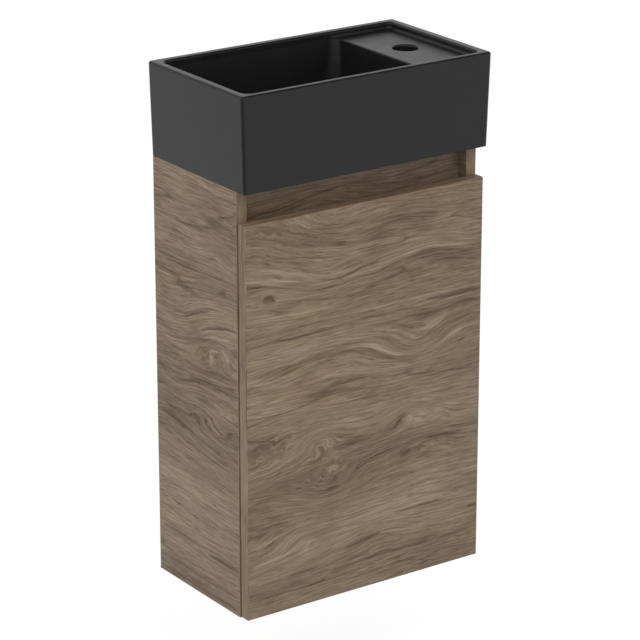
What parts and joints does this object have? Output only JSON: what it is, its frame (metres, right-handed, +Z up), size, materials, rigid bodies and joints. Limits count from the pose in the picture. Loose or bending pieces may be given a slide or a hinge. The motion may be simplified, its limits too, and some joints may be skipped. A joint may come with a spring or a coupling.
{
  "type": "vanity unit with basin",
  "caption": "Wall-hung cloakroom vanity: rectangular matt black basin with a side tap ledge on a narrow wood-decor cabinet with a handleless hinged door.",
  "frame": {"origin": "on the wall plane, at mid-width, level with the cabinet's underside", "axes": "+X to the right seen from the room, +Y into the wall, +Z up"},
  "size_m": [0.3998, 0.224, 0.73],
  "materials": {
    "matt_ceramic": "matt black glaze",
    "wood_decor": "greyish-brown wood decor with horizontal grain, matt",
    "edge_band": "edge band in the same decor, grain along the band",
    "back_board": "thin fibreboard, plain brown face",
    "dowel_wood": "bare beech",
    "zinc": "die-cast zinc, dull",
    "nickel_steel": "nickel-plated pressed steel",
    "screw_steel": "bright zinc-plated steel",
    "zinc_plated_steel": "zinc-plated sheet steel",
    "hanger_plastic": "off-white moulded plastic",
    "clear_rubber": "soft translucent pad",
    "sealant": "black silicone"
  },
  "bodies": {
    "carcass": {"back_panel": "back_board", "basin": "matt_ceramic", "basin_sealant": "sealant", "bottom_edge_band": "edge_band", "bottom_panel": "wood_decor", "cam_bolts": "screw_steel", "cam_housings": "zinc", "carcass_dowels": "dowel_wood", "grip_rail_edge_band": "edge_band", "grip_rail_floor": "wood_decor", "grip_rail_front": "wood_decor", "hanger_adjusters": "screw_steel", "hanger_left": "hanger_plastic", "hanger_right": "hanger_plastic", "hanger_screws": "screw_steel", "hinge_arm_pins": "screw_steel", "hinge_arm_screws": "screw_steel", "hinge_arms": "nickel_steel", "hinge_plate_screws": "screw_steel", "hinge_plates": "nickel_steel", "rear_top_rail": "wood_decor", "shelf": "wood_decor", "shelf_edge_band": "edge_band", "shelf_pins": "nickel_steel", "side_edge_band_left": "edge_band", "side_edge_band_right": "edge_band", "side_panel_left": "wood_decor", "side_panel_right": "wood_decor", "wall_plate_left": "zinc_plated_steel", "wall_plate_right": "zinc_plated_steel"},
    "door": {"door_panel": "wood_decor", "door_side_bands": "edge_band", "door_end_bands": "edge_band", "door_bumpers": "clear_rubber", "hinge_cups": "nickel_steel", "hinge_cup_screws": "screw_steel", "hinge_cup_pins": "screw_steel"},
    "outer_links": {"hinge_links_outer": "nickel_steel"},
    "inner_links": {"hinge_links_inner": "nickel_steel"}
  },
  "joints": [
    {"name": "door_swing", "type": "hinge", "parent": "carcass", "child": "door", "pos_m": [0.1872, -0.21177, 0.279], "axis": [0, 0, 1], "range_deg": [0, 100]},
    {"name": "outer_link_swing", "type": "hinge", "parent": "carcass", "child": "outer_links", "pos_m": [0.16686, -0.19612, 0.279], "axis": [0, 0, 1], "range_deg": [-17, 0.5]},
    {"name": "inner_link_swing", "type": "hinge", "parent": "carcass", "child": "inner_links", "pos_m": [0.16057, -0.2004, 0.279], "axis": [0, 0, 1], "range_deg": [-23, 0.5]}
  ],
  "couplings": [
    {"joint": "outer_link_swing", "follows": "door_swing", "ratio": -0.167},
    {"joint": "inner_link_swing", "follows": "door_swing", "ratio": -0.226}
  ]
}
